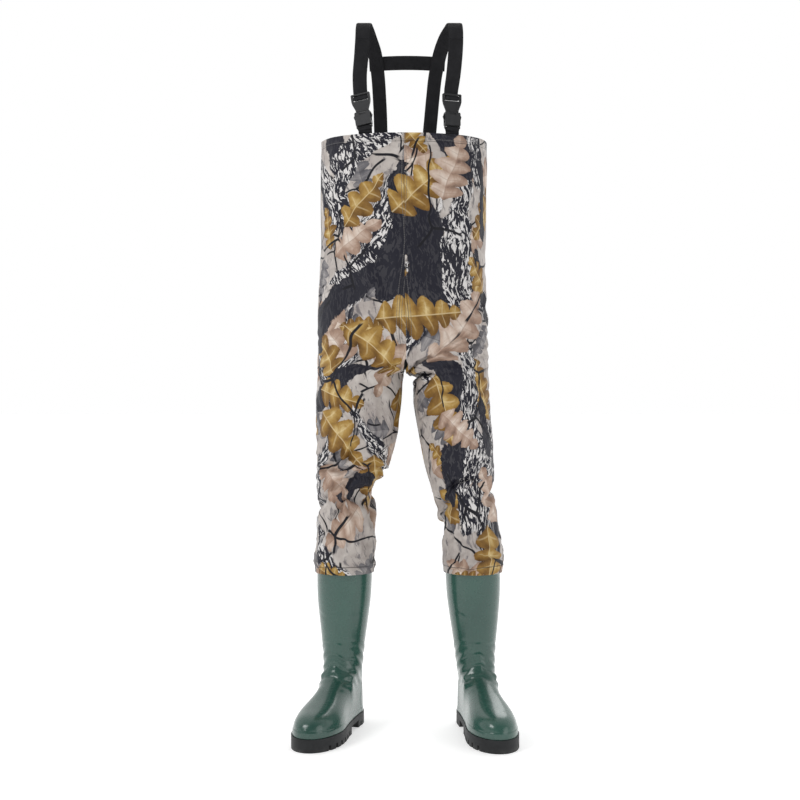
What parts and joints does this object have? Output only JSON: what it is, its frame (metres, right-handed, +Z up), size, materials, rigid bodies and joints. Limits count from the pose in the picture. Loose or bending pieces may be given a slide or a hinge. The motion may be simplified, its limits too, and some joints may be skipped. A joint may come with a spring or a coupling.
{
  "type": "chest waders",
  "caption": "Chest waders in printed coated fabric: bib top, bending hips and knees, moulded rubber-look boots with lugged soles, and webbing shoulder straps with side-release buckles.",
  "frame": {"origin": "bottom centre of the whole object, on the plane of the soles", "axes": "+Z up, the wearer faces -Y, the wearer's left is +X"},
  "size_m": [0.4482, 0.3576, 1.4659],
  "materials": {
    "camo_fabric": "matte printed coating",
    "seam_tape": "matte",
    "boot_pvc": "gloss",
    "boot_lining": "knit",
    "insole_foam": "matte",
    "sole_rubber": "satin",
    "webbing": "woven",
    "socket_plastic": "satin",
    "plug_plastic": "satin"
  },
  "bodies": {
    "bib": {"top_hem": "camo_fabric", "front_seam_tape": "seam_tape", "back_seam_tape": "seam_tape", "back_bridge_strap": "webbing", "right_bib_panel": "camo_fabric", "right_strap_patch": "seam_tape", "right_front_tab": "webbing", "right_buckle_socket": "socket_plastic", "right_front_strap": "webbing", "right_shoulder_strap": "webbing", "left_bib_panel": "camo_fabric", "left_strap_patch": "seam_tape", "left_front_tab": "webbing", "left_buckle_socket": "socket_plastic", "left_front_strap": "webbing", "left_shoulder_strap": "webbing"},
    "right_thigh": {"right_hip_fabric": "camo_fabric", "right_thigh_fabric": "camo_fabric"},
    "right_lower_leg": {"right_knee_fabric": "camo_fabric", "right_shin_fabric": "camo_fabric", "right_boot_joint_band": "seam_tape", "right_boot_upper": "boot_pvc", "right_boot_lining": "boot_lining", "right_boot_insole": "insole_foam", "right_boot_sole": "sole_rubber"},
    "right_plug": {"right_buckle_plug": "plug_plastic", "right_strap_loop": "webbing"},
    "right_inner_prong": {"right_inner_prong": "plug_plastic"},
    "right_outer_prong": {"right_outer_prong": "plug_plastic"},
    "left_thigh": {"left_hip_fabric": "camo_fabric", "left_thigh_fabric": "camo_fabric"},
    "left_lower_leg": {"left_knee_fabric": "camo_fabric", "left_shin_fabric": "camo_fabric", "left_boot_joint_band": "seam_tape", "left_boot_upper": "boot_pvc", "left_boot_lining": "boot_lining", "left_boot_insole": "insole_foam", "left_boot_sole": "sole_rubber"},
    "left_plug": {"left_buckle_plug": "plug_plastic", "left_strap_loop": "webbing"},
    "left_inner_prong": {"left_inner_prong": "plug_plastic"},
    "left_outer_prong": {"left_outer_prong": "plug_plastic"}
  },
  "joints": [
    {"name": "right_hip", "type": "hinge", "parent": "bib", "child": "right_thigh", "pos_m": [-0.095, 0.055, 0.825], "axis": [-1, 0, 0], "range_deg": [-15, 70], "deforming": ["right_hip_fabric"]},
    {"name": "right_knee", "type": "hinge", "parent": "right_thigh", "child": "right_lower_leg", "pos_m": [-0.115, 0.05, 0.47], "axis": [1, 0, 0], "range_deg": [0, 90], "deforming": ["right_knee_fabric"]},
    {"name": "right_buckle_release", "type": "slide", "parent": "bib", "child": "right_plug", "axis": [-0.1357, 0.0934, 0.9863], "range_m": [0, 0.03], "deforming": ["right_front_strap", "right_inner_prong", "right_outer_prong"]},
    {"name": "right_inner_squeeze", "type": "hinge", "parent": "right_plug", "child": "right_inner_prong", "pos_m": [-0.07513, -0.05198, 1.26457], "axis": [0.2831, 0.9577, -0.0517], "range_deg": [0, 9], "stiffness_Nm_per_rad": 0.02},
    {"name": "right_outer_squeeze", "type": "hinge", "parent": "right_plug", "child": "right_outer_prong", "pos_m": [-0.09317, -0.04681, 1.2616], "axis": [-0.2831, -0.9577, 0.0517], "range_deg": [0, 9], "stiffness_Nm_per_rad": 0.02},
    {"name": "left_hip", "type": "hinge", "parent": "bib", "child": "left_thigh", "pos_m": [0.095, 0.055, 0.825], "axis": [-1, 0, 0], "range_deg": [-15, 70], "deforming": ["left_hip_fabric"]},
    {"name": "left_knee", "type": "hinge", "parent": "left_thigh", "child": "left_lower_leg", "pos_m": [0.126, 0.05, 0.47], "axis": [1, 0, 0], "range_deg": [0, 90], "deforming": ["left_knee_fabric"]},
    {"name": "left_buckle_release", "type": "slide", "parent": "bib", "child": "left_plug", "axis": [-0.0079, 0.0525, 0.9986], "range_m": [0, 0.03], "deforming": ["left_front_strap", "left_inner_prong", "left_outer_prong"]},
    {"name": "left_outer_squeeze", "type": "hinge", "parent": "left_plug", "child": "left_outer_prong", "pos_m": [0.10603, -0.03951, 1.26302], "axis": [-0.309, 0.9496, -0.0523], "range_deg": [0, 9], "stiffness_Nm_per_rad": 0.02},
    {"name": "left_inner_squeeze", "type": "hinge", "parent": "left_plug", "child": "left_inner_prong", "pos_m": [0.08796, -0.04538, 1.26318], "axis": [0.309, -0.9496, 0.0523], "range_deg": [0, 9], "stiffness_Nm_per_rad": 0.02}
  ],
  "couplings": [
    {"joint": "right_outer_squeeze", "follows": "right_inner_squeeze", "ratio": 1},
    {"joint": "left_inner_squeeze", "follows": "left_outer_squeeze", "ratio": 1}
  ]
}
